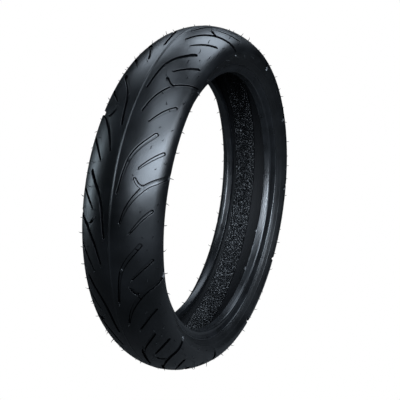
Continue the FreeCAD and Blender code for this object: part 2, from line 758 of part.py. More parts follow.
def build_parts():
    """Every piece of the tire, in the order in which they are laid up."""
    tread = Tread()
    parts = [
        inner_liner(),
        ply("carcass_ply_inner", "Layout.outer_ply_bottom", "Layout.inner_ply_bottom",
            "Layout.outer_ply_wrap", "Layout.inner_ply_wrap", "Sizes.turnup_inner_length"),
        ply("carcass_ply_outer", "Layout.inner_belt_bottom", "Layout.outer_ply_bottom",
            "Sizes.wrap_outer_radius", "Layout.outer_ply_wrap", "Sizes.turnup_outer_length"),
        layer("belt_inner", "Layout.outer_belt_bottom", "Layout.inner_belt_bottom", "Sizes.inner_belt_angle"),
        layer("belt_outer", "Layout.base_bottom", "Layout.outer_belt_bottom", "Sizes.outer_belt_angle"),
        layer("tread_base", "Layout.cap_bottom", "Layout.base_bottom", "Sizes.tread_edge_angle"),
        tread_cap(tread),
        bead_flash(),
    ]
    for side in (LEFT, RIGHT):
        wires = bead_wires(side)
        parts += [
            wires,
            bead_rubber(side, wires),
            bead_wrap(side),
            bead_filler(side),
            belt_edge_strip(side),
            rim_strip(side),
            sidewall(tread, side),
            tread_spews(tread, side),
            edge_spews(tread, side),
        ]
    return parts


def check(parts):
    """Stops on any object that failed to recompute and on any empty or faulty shape."""
    failed = [item.Label for item in DOC.Objects if {"Invalid", "Error"} & set(item.State)]
    if failed:
        raise RuntimeError(f"failed to recompute: {failed}")
    for part in parts:
        if part.Shape.isNull() or not part.Shape.isValid() or part.Shape.Volume <= 0:
            raise RuntimeError(f"{part.Label} has no valid shape")


DOC = FreeCAD.newDocument("MotorcycleTire")
SHEET = new_sheet(DOC)
LAYOUT = new_layout(DOC)
PARTS = build_parts()
DOC.recompute()
check(PARTS)
os.makedirs("parts", exist_ok=True)
for finished in PARTS:
    finished.Shape.exportStep(f"parts/{finished.Label}.step")
    print(finished.Label, len(finished.Shape.Solids), round(finished.Shape.Volume))
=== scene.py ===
"""Looks of the motorcycle tire: moulded tread, sidewalls, beads, inner liner, vent hairs and their rubber.

The tire's lengths are millimetres and its angles degrees, until place() and spin() turn them into metres.
A spot on the outside of the tire is given by degrees round the axle, from X towards Z, and by the arc
distance from the middle of the crown, measured over the tread and down the sidewall.
"""

import math

import bpy
import numpy as np
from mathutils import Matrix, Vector
from mathutils.geometry import delaunay_2d_cdt


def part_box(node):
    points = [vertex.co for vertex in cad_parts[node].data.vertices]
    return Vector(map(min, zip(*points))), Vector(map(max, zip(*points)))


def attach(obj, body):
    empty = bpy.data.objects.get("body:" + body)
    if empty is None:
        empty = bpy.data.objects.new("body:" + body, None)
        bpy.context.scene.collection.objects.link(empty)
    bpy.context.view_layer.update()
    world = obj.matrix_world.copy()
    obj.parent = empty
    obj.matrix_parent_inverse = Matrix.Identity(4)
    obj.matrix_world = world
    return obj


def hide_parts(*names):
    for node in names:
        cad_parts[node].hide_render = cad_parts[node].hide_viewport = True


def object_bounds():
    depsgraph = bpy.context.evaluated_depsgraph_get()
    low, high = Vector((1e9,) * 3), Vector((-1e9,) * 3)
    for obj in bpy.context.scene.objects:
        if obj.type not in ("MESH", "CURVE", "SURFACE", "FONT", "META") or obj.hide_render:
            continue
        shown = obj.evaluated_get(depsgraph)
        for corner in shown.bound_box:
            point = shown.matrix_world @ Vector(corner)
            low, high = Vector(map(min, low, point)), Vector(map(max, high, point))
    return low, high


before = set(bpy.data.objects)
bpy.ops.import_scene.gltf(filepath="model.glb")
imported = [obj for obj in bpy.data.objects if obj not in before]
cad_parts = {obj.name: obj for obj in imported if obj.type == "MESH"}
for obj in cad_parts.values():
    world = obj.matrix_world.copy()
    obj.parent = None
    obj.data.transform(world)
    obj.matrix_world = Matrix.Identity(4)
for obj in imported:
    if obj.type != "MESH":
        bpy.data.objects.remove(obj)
cad_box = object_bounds()

METRE = 0.001
LEFT, RIGHT = 1, -1
SIDE_NAMES = {LEFT: "left", RIGHT: "right"}

# Half section of the outside: (radius of curvature, degrees turned), from the crown down to the rim line.
CROWN_ARC, SHOULDER_ARC, BUTTRESS_ARC, WALL_ARC = 88.0, 26.5, 4.0, 90.0
CROWN_TURN = 40.0
SECTION = [(CROWN_ARC, CROWN_TURN), (SHOULDER_ARC, 50.0), (BUTTRESS_ARC, 30.0), (WALL_ARC, 30.0)]
# Arc distances of the tread's edge, of the end of the patterned patch and of the rim line.
TREAD_EDGE, PATCH_EDGE, RIM_LINE_ARC = 81.8, 94.0, 107.6
# The mould parting rib round the crown: its height in the CAD, the share of that it has here, and the arc
# distances where its top ends and where its slope ends.
RIB_HEIGHT, RIB_SHARE = 0.35, 0.8
RIB_TOP, RIB_FOOT = 0.3, 0.6

CAD_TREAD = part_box("tread_cap")
OUTER_RADIUS = (CAD_TREAD[1][2] - CAD_TREAD[0][2]) / 2 / METRE - RIB_HEIGHT

# Tread pattern: one pitch of one half, repeated round the tire. The left half is moved round by part of one.
PITCH_COUNT = 11
PITCH = 360 / PITCH_COUNT
PATTERN_START = 11.5
LEFT_SHIFT = 0.4
GROOVE_DEPTH = 4.0
# Millimetres of crown for each degree round the axle.
CROWN_SCALE = math.radians(1) * OUTER_RADIUS
# Each groove: its path as (degrees, arc), its widths along it, and the shares of the depth at its two ends.
GROOVES = {
    "long": {
        "path": [(1.6, 46.5), (3.8, 37.5), (6.6, 26.5), (9.8, 18.0), (14.1, 13.0), (20.1, 8.5)],
        "width": (6.6, 6.0, 4.8, 3.6),
        "share": (0.9, 1.0),
    },
    "short": {
        "path": [(6.5, 64.0), (8.9, 50.0), (12.2, 33.5)],
        "width": (5.4, 4.6, 3.0),
        "share": (0.85, 0.85),
    },
    "edge": {
        "path": [(12.4, 86.5), (15.1, 63.3), (16.8, 50.0), (19.6, 37.0), (23.8, 24.0), (28.1, 16.2)],
        "width": (7.2, 7.8, 7.0, 5.0, 3.4),
        "share": (0.6, 1.0),
    },
    "spur": {
        "path": [(17.6, 46.0), (17.0, 37.5), (15.4, 30.5)],
        "width": (5.4, 5.2, 4.6),
        "share": (0.9, 0.9),
    },
    "slant": {
        "path": [(24.1, 60.5), (26.1, 50.0), (28.3, 40.8), (30.9, 31.0)],
        "width": (5.4, 4.6, 2.8),
        "share": (0.85, 0.85),
    },
}
# Section of a groove's side, from the tread down to the floor: (distance outside its edge, share of depth).
GROOVE_SIDE = [(0.7, 0.0), (0.35, 0.0), (0.1, 0.04), (-0.1, 0.16), (-0.6, 0.9), (-0.8, 0.98), (-1.1, 1.0)]
# Points of a groove's outline: the step along its line, how finely the line is drawn first, and the number
# of points round each end.
GROOVE_STEP = 1.2
CURVE_STEPS = 400
GROOVE_END_STEPS = 9
# How softly two grooves run into each other.
JOINT_ROUNDING = 1.6
# The raised bar on a groove's floor: its place along the groove, its length and height, how far its ends
# reach beyond that length, and over what length they slope up.
WEAR_BAR = {"groove": "long", "at": 0.5, "length": 6.0, "height": 1.2, "foot": 0.8, "slope": 1.2}

# Points of the patch between the grooves: columns in a pitch, steps between the rows on the crown and on the
# shoulder, and the arc distances of the rows below the tread's edge. They keep clear of the grooves.
PATCH_COLUMNS = 80
CROWN_ROWS_END, CROWN_ROW_STEP, SHOULDER_ROW_STEP = 60.0, 3.4, 1.8
BUTTRESS_ROWS = [TREAD_EDGE + 1.4, 84.6, 85.3, 86.0, 86.7, 88.6, 91.0]
GROOVE_CLEARANCE = 0.5
RING_SEGMENTS = PITCH_COUNT * PATCH_COLUMNS
# Spots closer than this are one spot, in the flat patch and in the finished mesh.
SAME_SPOT = 1e-4
WELD_DISTANCE = 0.002 * METRE


def outline(arc):
    """Radius, distance along the axle and lean of the outside at each arc distance."""
    arc = np.asarray(arc, float)
    radius, along, lean = np.zeros_like(arc), np.zeros_like(arc), np.zeros_like(arc)
    start, tilt = 0.0, 0.0
    here_r, here_y = OUTER_RADIUS, 0.0
    for curve, turn in SECTION:
        centre_r, centre_y = here_r - curve * math.cos(tilt), here_y - curve * math.sin(tilt)
        inside = arc >= start
        angle = tilt + (arc - start) / curve
        radius = np.where(inside, centre_r + curve * np.cos(angle), radius)
        along = np.where(inside, centre_y + curve * np.sin(angle), along)
        lean = np.where(inside, angle, lean)
        start += curve * math.radians(turn)
        tilt += math.radians(turn)
        here_r, here_y = centre_r + curve * math.cos(tilt), centre_y + curve * math.sin(tilt)
    return radius, along, lean


def place(degrees, arc, sink, side):
    """Points in metres, sunk below the outside by this much."""
    radius, along, lean = outline(arc)
    radius, along = radius - sink * np.cos(lean), along - sink * np.sin(lean)
    turn = np.radians(degrees)
    return np.stack([radius * np.cos(turn), side * along, radius * np.sin(turn)], axis=-1) * METRE


def smooth(points, count):
    """A natural cubic curve through the points, resampled evenly."""
    points = np.asarray(points, float)
    knots = np.concatenate([[0], np.cumsum(np.linalg.norm(np.diff(points, axis=0), axis=1))])
    gaps, inner = np.diff(knots)[:, None], len(points) - 2
    slopes = np.diff(points, axis=0) / gaps
    system = np.diag(2 * (gaps[:-1] + gaps[1:])[:, 0])
    system += np.diag(gaps[1:-1, 0], 1) + np.diag(gaps[1:-1, 0], -1)
    bends = np.zeros_like(points)
    if inner:
        bends[1:-1] = np.linalg.solve(system, 6 * np.diff(slopes, axis=0))
    fine = np.linspace(0, knots[-1], CURVE_STEPS)
    span = np.clip(np.searchsorted(knots, fine, side="right") - 1, 0, len(points) - 2)
    gap, before = gaps[span], (fine - knots[span])[:, None]
    after = gap - before
    curve = (bends[span] * after**3 + bends[span + 1] * before**3) / (6 * gap)
    curve += (points[span] / gap - bends[span] * gap / 6) * after
    curve += (points[span + 1] / gap - bends[span + 1] * gap / 6) * before
    reach = np.concatenate([[0], np.cumsum(np.linalg.norm(np.diff(curve, axis=0), axis=1))])
    even = np.linspace(0, reach[-1], count)
    return np.stack([np.interp(even, reach, curve[:, axis]) for axis in range(points.shape[1])], axis=-1)


class Groove:
    """One groove laid flat: its centre line in mm, with half its width and its depth at each point."""

    def __init__(self, name):
        shape = GROOVES[name]
        flat = [(degrees * CROWN_SCALE, arc) for degrees, arc in shape["path"]]
        length = np.linalg.norm(np.diff(flat, axis=0), axis=1).sum()
        count = max(8, int(length / GROOVE_STEP))
        self.line = smooth(flat, count)
        part = np.linspace(0, 1, count)
        self.half = np.interp(part, np.linspace(0, 1, len(shape["width"])), shape["width"]) / 2
        self.depth = GROOVE_DEPTH * np.interp(part, [0, 1], shape["share"])
        if name == WEAR_BAR["groove"]:
            inside = WEAR_BAR["length"] / 2 + WEAR_BAR["foot"] - abs(part - WEAR_BAR["at"]) * length
            self.depth -= WEAR_BAR["height"] * np.clip(inside / WEAR_BAR["slope"], 0, 1)

    def loop(self, grow):
        """The closed outline, moved outwards by grow, with round ends."""
        ahead = np.gradient(self.line, axis=0)
        ahead /= np.linalg.norm(ahead, axis=1)[:, None]
        across = np.stack([-ahead[:, 1], ahead[:, 0]], axis=-1)
        reach = (self.half + grow)[:, None]
        turns = np.radians(np.linspace(90, -90, GROOVE_END_STEPS)[1:-1])[:, None]
        last_end = np.cos(turns) * ahead[-1] + np.sin(turns) * across[-1]
        first_end = -np.cos(turns) * ahead[0] - np.sin(turns) * across[0]
        return np.vstack([
            self.line + across * reach,
            self.line[-1] + last_end * reach[-1],
            (self.line - across * reach)[::-1],
            self.line[0] + first_end * reach[0],
        ])

    def measure(self, spots):
        """Distance of each spot outside this groove's edge, and the groove's depth there."""
        first, step = self.line[:-1], np.diff(self.line, axis=0)
        offset = spots[:, None, :] - first[None]
        part = np.clip((offset * step).sum(-1) / (step**2).sum(-1), 0, 1)
        gap = np.linalg.norm(offset - part[..., None] * step, axis=-1)
        gap -= self.half[:-1] + part * np.diff(self.half)
        nearest = gap.argmin(axis=1)
        rows = np.arange(len(spots))
        share = part[rows, nearest]
        return gap[rows, nearest], self.depth[nearest] * (1 - share) + self.depth[nearest + 1] * share


def sink_at(spots, grooves):
    """Each spot's depth, its descent (depth as a share of the groove's) and its distance off the edge."""
    found = [groove.measure(spots) for groove in grooves]
    gaps = np.array([gap for gap, _ in found])
    nearest = gaps.argmin(axis=0)
    rows = np.arange(len(spots))
    depth = np.array([depth for _, depth in found])[nearest, rows]
    two = np.sort(gaps, axis=0)[:2]
    overlap = np.clip(1 - (two[1] - two[0]) / JOINT_ROUNDING, 0, 1)
    gap = two[0] - overlap**2 * JOINT_ROUNDING / 4
    outside, share = zip(*GROOVE_SIDE[::-1])
    descent = np.interp(gap, outside, share)
    return depth * descent, descent, gap


def patch_rows():
    """Arc distances of the rows of points: close together where the section bends sharply."""
    crown = np.arange(CROWN_ROW_STEP, CROWN_ROWS_END, CROWN_ROW_STEP)
    shoulder = np.arange(CROWN_ROWS_END + 2, TREAD_EDGE - 1, SHOULDER_ROW_STEP)
    return np.concatenate([crown, shoulder, BUTTRESS_ROWS])


def pattern_patch():
    """One pitch of one half, laid flat: spots in (degrees, arc), their depth and descent, and triangles."""
    width = PITCH * CROWN_SCALE
    grooves = [Groove(name) for name in GROOVES]
    spots, edges = [], []

    def add(points, closed):
        first = len(spots)
        spots.extend(map(tuple, points))
        edges.extend((first + k, first + k + 1) for k in range(len(points) - 1))
        if closed:
            edges.append((len(spots) - 1, first))

    columns = np.linspace(0, width, PATCH_COLUMNS + 1)
    for arc in (0.0, RIB_TOP, RIB_FOOT, TREAD_EDGE, PATCH_EDGE):
        add([(x, arc) for x in columns], False)
    rows = patch_rows()
    tread_rows, wall_rows = rows[rows < TREAD_EDGE], rows[rows > TREAD_EDGE]
    sides = np.concatenate([[0.0, RIB_TOP, RIB_FOOT], tread_rows, [TREAD_EDGE], wall_rows, [PATCH_EDGE]])
    for x in (0.0, width):
        add([(x, arc) for arc in sides], False)
    for groove in grooves:
        for grow, _ in GROOVE_SIDE:
            add(groove.loop(grow), True)
    middle = []
    for number, arc in enumerate(rows):
        spacing = width / PATCH_COLUMNS * (2 if arc < CROWN_ROWS_END else 1)
        shift = spacing / 2 if number % 2 else 0
        middle += [(x + shift, arc) for x in np.arange(spacing, width - spacing * 0.9, spacing)]
    middle = np.array(middle)
    clear = sink_at(middle, grooves)[2] > GROOVE_SIDE[0][0] + GROOVE_CLEARANCE
    spots.extend(map(tuple, middle[clear]))
    flat, _, faces, _, _, _ = delaunay_2d_cdt([Vector(spot) for spot in spots], edges, [], 0, SAME_SPOT)
    flat = np.array([tuple(spot) for spot in flat])
    sink, descent, _ = sink_at(flat, grooves)
    rib = np.interp(flat[:, 1], [RIB_TOP, RIB_FOOT], [RIB_HEIGHT * RIB_SHARE, 0])
    return flat / (CROWN_SCALE, 1), sink - rib, descent, np.array(faces)


def make_object(name, points, faces):
    """A mesh object with smooth shading."""
    mesh = bpy.data.meshes.new(name)
    mesh.from_pydata(points.tolist(), [], [list(map(int, face)) for face in faces])
    mesh.validate()
    mesh.shade_smooth()
    item = bpy.data.objects.new(name, mesh)
    bpy.context.scene.collection.objects.link(item)
    return item


def weld_keys(points):
    """Whole numbers that are the same for points that coincide."""
    return np.round(points / WELD_DISTANCE).astype(np.int64)


def weld(points, faces):
    """Merges points that coincide and drops faces that lose a corner."""
    _, first, where = np.unique(weld_keys(points), axis=0, return_index=True, return_inverse=True)
    where = where.reshape(-1)
    kept = [face for face in (where[np.array(face)] for face in faces) if len(set(face)) == len(face)]
    return points[first], kept


def whole_pattern(patch):
    """Both halves, all pitches: points and their descent, then faces with the arc and the side of each."""
    flat, sink, descent, faces = patch
    points, triangles, arcs, sides = [], [], [], []
    for side in (LEFT, RIGHT):
        for pitch in range(PITCH_COUNT):
            start = PATTERN_START + (pitch + (LEFT_SHIFT if side == LEFT else 0)) * PITCH
            first = sum(map(len, points))
            points.append(place(flat[:, 0] + start, flat[:, 1], sink, side))
            triangles.append((faces if side == RIGHT else faces[:, ::-1]) + first)
            arcs.append(flat[faces, 1].mean(axis=1))
            sides.append(np.full(len(faces), side))
    descents = np.tile(descent, 2 * PITCH_COUNT)
    return np.vstack(points), descents, np.vstack(triangles), np.concatenate(arcs), np.concatenate(sides)


def spin(section, side):
    """A ring from an open section of (radius, along) points."""
    radius, along = np.asarray(section, float).T
    angle = np.radians(PATTERN_START + np.arange(RING_SEGMENTS) * 360 / RING_SEGMENTS)[:, None]
    along = np.broadcast_to(side * along, (RING_SEGMENTS, len(section)))
    points = np.stack([radius * np.cos(angle), along, radius * np.sin(angle)], axis=-1).reshape(-1, 3) * METRE
    count = len(section)
    ring, row = np.meshgrid(np.arange(RING_SEGMENTS), np.arange(count - 1), indexing="ij")
    here, there = ring * count + row, (ring + 1) % RING_SEGMENTS * count + row
    faces = np.stack([here, there, there + 1, here + 1], axis=-1).reshape(-1, 4)
    return points, (faces if side == RIGHT else faces[:, ::-1])


def add_piece(name, points, faces, material, nodes, slot):
    """A finished piece: welded, shaded smooth, riding on the tire and standing for its CAD nodes."""
    points, faces = weld(points, faces)
    item = make_object(name, points, faces)
    item.data.materials.append(material)
    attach(item, "root")
    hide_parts(*nodes)
    return item


def join(parts):
    """Several (points, faces) as one."""
    points, faces = [], []
    for spots, corners in parts:
        first = sum(map(len, points))
        points.append(spots)
        faces += [np.array(face) + first for face in corners]
    return np.vstack(points), faces


def arc_points(centre, radius, start, end, count):
    """Points of a section arc round (radius, along) centre. Angle 0 points outwards and 90 to the side."""
    angles = np.radians(np.linspace(start, end, count))
    return [(centre[0] + radius * math.cos(a), centre[1] + radius * math.sin(a)) for a in angles]


# Ribs round the sidewall: (arc distance, half width, height). Points of its section are this far apart.
WALL_RIBS = [(96.2, 0.45, 0.35), (103.6, 0.4, 0.3), (105.4, 0.35, 0.25)]
WALL_STEP = 0.6


def wall_section():
    """The sidewall from the patterned patch to the rim line, with its fine mould ribs standing up."""
    arcs = np.append(np.arange(PATCH_EDGE, RIM_LINE_ARC, WALL_STEP), RIM_LINE_ARC)
    radius, along, lean = outline(arcs)
    lift = sum(height * np.exp(-(((arcs - at) / width) ** 2)) for at, width, height in WALL_RIBS)
    lift[0] = 0
    return list(zip(radius + lift * np.cos(lean), along + lift * np.sin(lean)))


# The rim line: a rounded rib that is this high and wide. A lower exponent makes it fuller.
RIM_LINE_HEIGHT, RIM_LINE_WIDTH, RIM_LINE_ROUND = 0.8, 1.7, 0.6
# The hollow for the rim flange, and the fine mould line in it: (place across it, half width, height).
FLANGE_HOLLOW = 14.0
FLANGE_LINE = (0.42, 0.07, 0.35)
HEEL_RADIUS = 3.7
# The seat that grips the rim: its middle radius, its two ends and inner points along the axle, and its taper.
SEAT_RADIUS, SEAT_START, SEAT_END = 218.3, 35.5, 43.5
SEAT_POINTS = (42.4, 41.0, 39.0, 37.0)
SEAT_TAPER = math.tan(math.radians(5))
# The toe: its radius, its place along the axle, its rounding, and the radii of points up its face.
TOE_RADIUS, TOE_ALONG, TOE_ROUND = 217.6, 33.5, 0.5
TOE_FACE = (219.5, 222.5)
# The point where the seat runs into the toe's rounding: how far out and how far along from its corner.
TOE_RISE, TOE_LEAD = 0.15, 0.9
# The middle of the bundle of wires, as (radius, along), and how far from it the inner liner wraps round.
BEAD_CENTRE = (225.5, 40.1)
LINER_WRAP = 6.6


def bead_section():
    """From the rim line down round the bead to where the inner liner starts."""
    radius, along, lean = (float(value) for value in outline(RIM_LINE_ARC))
    out, down = (math.cos(lean), math.sin(lean)), (-math.sin(lean), math.cos(lean))
    section = []
    for part in np.linspace(0, 1, 7):
        rise = RIM_LINE_HEIGHT * math.sin(math.pi * part) ** RIM_LINE_ROUND
        shift = RIM_LINE_WIDTH * part
        section.append((radius + rise * out[0] + shift * down[0], along + rise * out[1] + shift * down[1]))
    foot, heel_top = section[-1], (SEAT_RADIUS + HEEL_RADIUS, SEAT_END + HEEL_RADIUS)
    span = math.dist(foot, heel_top)
    line_at, line_width, line_height = FLANGE_LINE
    for part in np.linspace(0, 1, 12)[1:-1]:
        sag = 4 * part * (1 - part) * span**2 / (8 * FLANGE_HOLLOW)
        line = line_height * math.exp(-(((part - line_at) / line_width) ** 2))
        across = ((heel_top[1] - foot[1]) / span, -(heel_top[0] - foot[0]) / span)
        section.append((
            foot[0] + (heel_top[0] - foot[0]) * part + across[0] * (sag - line),
            foot[1] + (heel_top[1] - foot[1]) * part - across[1] * (sag - line),
        ))
    section += arc_points((heel_top[0], SEAT_END), HEEL_RADIUS, 90, 180, 9)
    middle = (SEAT_START + SEAT_END) / 2
    section += [(SEAT_RADIUS + SEAT_TAPER * (along - middle), along) for along in (*SEAT_POINTS, SEAT_START)]
    section.append((TOE_RADIUS + TOE_RISE, TOE_ALONG + TOE_LEAD))
    section += arc_points((TOE_RADIUS + TOE_ROUND, TOE_ALONG + TOE_ROUND), TOE_ROUND, 180, 270, 5)
    section += [(face_radius, TOE_ALONG) for face_radius in TOE_FACE]
    section.append((BEAD_CENTRE[0], BEAD_CENTRE[1] - LINER_WRAP))
    return section


# The cavity lies this far below the outside, and its shoulder bends round until it has turned this far.
CAVITY_DEPTH, CAVITY_TURN = 12.8, 142.6
# Its points: how far apart they are under the crown, and the first turn and step of turn under the shoulder.
CAVITY_STEP, CAVITY_TURN_START, CAVITY_TURN_STEP = 2.2, 44.0, 4.5
# The grained bands, one on each side of a smooth middle: from here to there along the axle.
GRAIN_START, GRAIN_END = 11.0, 45.5
# Raised lines at their borders: (arc distance, height). Each has a half width and points at these offsets.
GRAIN_BORDERS = [(14.0, 0.5), (57.2, 0.4)]
BORDER_WIDTH = 0.5
BORDER_OFFSETS = (-0.8, -0.4, 0, 0.4, 0.8)


def liner_section():
    """The cavity from the middle of the crown down to the bead toe, with the borders of its grained band."""
    reach = math.radians(CROWN_TURN) * CROWN_ARC
    borders = [arc + offset for arc, _ in GRAIN_BORDERS for offset in BORDER_OFFSETS]
    arcs = np.unique(np.concatenate([np.arange(0, reach, CAVITY_STEP), borders, [reach]]))
    shoulder = np.arange(CAVITY_TURN_START, CAVITY_TURN, CAVITY_TURN_STEP)
    arcs = np.concatenate([arcs, reach + SHOULDER_ARC * np.radians(shoulder - CROWN_TURN)])
    centre_r, centre_y = shoulder_centre()
    section = []
    for arc in arcs:
        if arc <= reach:
            radius, along = OUTER_RADIUS - CROWN_ARC, 0.0
            curve, lean = CROWN_ARC, arc / CROWN_ARC
        else:
            radius, along = centre_r, centre_y
            curve, lean = SHOULDER_ARC, math.radians(CROWN_TURN) + (arc - reach) / SHOULDER_ARC
        rise = sum(height * math.exp(-(((arc - at) / BORDER_WIDTH) ** 2)) for at, height in GRAIN_BORDERS)
        curve -= CAVITY_DEPTH + rise
        section.append((radius + curve * math.cos(lean), along + curve * math.sin(lean)))
    section += arc_points(BEAD_CENTRE, LINER_WRAP, CAVITY_TURN + 180, 270, 10)
    return section


def shoulder_centre():
    """Radius and distance along the axle of the centre of the shoulder's arc."""
    lean = math.radians(CROWN_TURN)
    reach = CROWN_ARC - SHOULDER_ARC
    return OUTER_RADIUS - CROWN_ARC + reach * math.cos(lean), reach * math.sin(lean)


# Vents of one pitch of one tread half, as (degrees, arc): those with long hairs and those with short ones.
TREAD_VENTS = [
    (6.1, 44.0), (12.3, 56.0), (24.0, 46.0), (14.4, 26.5),
    (31.6, 65.0), (31.9, 48.0), (9.0, 70.0), (21.6, 68.0),
]
SMALL_VENTS = [
    (20.9, 8.6), (28.9, 15.6), (31.3, 30.0), (12.6, 32.0),
    (15.4, 29.6), (3.0, 57.0), (26.5, 72.0), (16.5, 74.0),
]
# The ring of vents at the edge of each sidewall.
EDGE_VENT_ARC, EDGE_VENT_COUNT = 88.0, 44
# Shortest and longest hairs of each kind of vent.
LONG_HAIRS, SHORT_HAIRS, EDGE_HAIRS = (4.0, 7.0), (2.0, 4.5), (3.5, 6.5)
# Each hair: its radius, as what share of it the foot starts and how much of that the tip has lost, the least
# and most that it bends, and the length of the point on its end.
HAIR_RADIUS, HAIR_FOOT, HAIR_TAPER = 0.55, 1.25, 0.65
HAIR_BENDS = (0.1, 0.75)
HAIR_POINT = 0.2
HAIR_SIDES, HAIR_RINGS = 5, 6
# How far hairs stand from their regular places, in degrees and in arc, and how deep their feet are buried.
VENT_SCATTER = (0.25, 0.6)
HAIR_ROOT = 0.15


def hair(foot, out, length, random):
    """A thin tapering thread of rubber, bent over a little."""
    out = np.array(out) / np.linalg.norm(out)
    lean = np.cross(out, random.normal(size=3))
    lean /= np.linalg.norm(lean)
    bend = random.uniform(*HAIR_BENDS)
    other = np.cross(out, lean)
    rings = []
    for part in np.linspace(0, 1, HAIR_RINGS):
        centre = foot + (out * part * (1 - bend * part / 3) + lean * bend * part**2) * length * METRE
        thick = HAIR_RADIUS * (HAIR_FOOT - HAIR_TAPER * part) * METRE
        turns = np.arange(HAIR_SIDES) * 2 * math.pi / HAIR_SIDES
        rings.append(centre + thick * (np.cos(turns)[:, None] * lean + np.sin(turns)[:, None] * other))
    tip = foot + (out * (1 - bend / 3) + lean * bend) * (length + HAIR_POINT) * METRE
    faces = []
    for ring in range(HAIR_RINGS - 1):
        for side in range(HAIR_SIDES):
            here, there = ring * HAIR_SIDES + side, ring * HAIR_SIDES + (side + 1) % HAIR_SIDES
            faces.append((here, there, there + HAIR_SIDES, here + HAIR_SIDES))
    last = (HAIR_RINGS - 1) * HAIR_SIDES
    faces += [(last + side, last + (side + 1) % HAIR_SIDES, last + HAIR_SIDES) for side in range(HAIR_SIDES)]
    return np.vstack(rings + [tip[None]]), faces


def hairs(places, side, lengths, random):
    """Hairs standing on the outside of the tire at these (degrees, arc) places."""
    parts = []
    for degrees, arc in places:
        degrees, arc = degrees + random.normal(0, VENT_SCATTER[0]), arc + random.normal(0, VENT_SCATTER[1])
        foot, top = place(degrees, arc, HAIR_ROOT, side), place(degrees, arc, -1.0, side)
        parts.append(hair(foot, top - foot, random.uniform(*lengths), random))
    return parts


def tread_hairs(side, random):
    """The hairs on one half of the tread."""
    parts = []
    for pitch in range(PITCH_COUNT):
        start = PATTERN_START + (pitch + (LEFT_SHIFT if side == LEFT else 0)) * PITCH
        for vents, lengths in ((TREAD_VENTS, LONG_HAIRS), (SMALL_VENTS, SHORT_HAIRS)):
            parts += hairs([(start + degrees, arc) for degrees, arc in vents], side, lengths, random)
    return join(parts)


def edge_hairs(side, random):
    """The ring of hairs at the edge of one sidewall."""
    places = [(360 * number / EDGE_VENT_COUNT, EDGE_VENT_ARC) for number in range(EDGE_VENT_COUNT)]
    return join(hairs(places, side, EDGE_HAIRS, random))


# The mould flash on the right bead toe: its two ends in degrees, its thickness, and its fine tears.
FLASH_START, FLASH_END = -55.0, -27.0
FLASH_GAUGE = 0.3
FLASH_STEPS = 200
FLASH_TEARS, FLASH_RAGGED = 36, (0.1, 0.9)
# It starts this far outside the toe's radius and this deep inside the toe.
FLASH_LIFT, FLASH_ROOT = 0.05, 0.3
# Its torn lumps: (place along it, half width, reach).
FLASH_LUMPS = [(0.86, 0.025, 4.6), (0.55, 0.05, 1.2), (0.35, 0.04, 0.8), (0.13, 0.03, 4.4)]
# It gets lower towards its ends, more abruptly the lower the exponent is, but not below its height at this
# share of its length from each end.
FLASH_END_SHARE, FLASH_END_ROUND = 0.02, 0.25


def flash(random):
    """The torn fin along the right bead toe, which carries the seat's surface on: ragged, with torn lumps."""
    turns = np.linspace(FLASH_START, FLASH_END, FLASH_STEPS)
    part = np.linspace(0, 1, FLASH_STEPS)
    ragged = np.interp(part, np.linspace(0, 1, FLASH_TEARS), random.uniform(*FLASH_RAGGED, FLASH_TEARS))
    lumps = sum(size * np.exp(-(((part - at) / width) ** 4)) for at, width, size in FLASH_LUMPS)
    ends = np.sin(np.pi * np.clip(part, FLASH_END_SHARE, 1 - FLASH_END_SHARE)) ** FLASH_END_ROUND
    reach = (ragged + lumps) * ends
    angle = np.radians(turns)
    rim = []
    for outwards, inwards in ((0, 0), (0, 1), (FLASH_GAUGE, 1), (FLASH_GAUGE, 0)):
        radius = TOE_RADIUS + FLASH_LIFT + outwards
        along = -(TOE_ALONG + FLASH_ROOT) + inwards * (reach + FLASH_ROOT)
        rim.append(np.stack([radius * np.cos(angle), along, radius * np.sin(angle)], axis=-1))
    grid = np.stack(rim, axis=1).reshape(-1, 3) * METRE
    faces = []
    for number in range(FLASH_STEPS - 1):
        for corner in range(4):
            here, there = number * 4 + corner, number * 4 + (corner + 1) % 4
            faces.append((here, there, there + 4, here + 4))
    last = (FLASH_STEPS - 1) * 4
    faces += [(3, 2, 1, 0), (last, last + 1, last + 2, last + 3)]
    return grid, faces


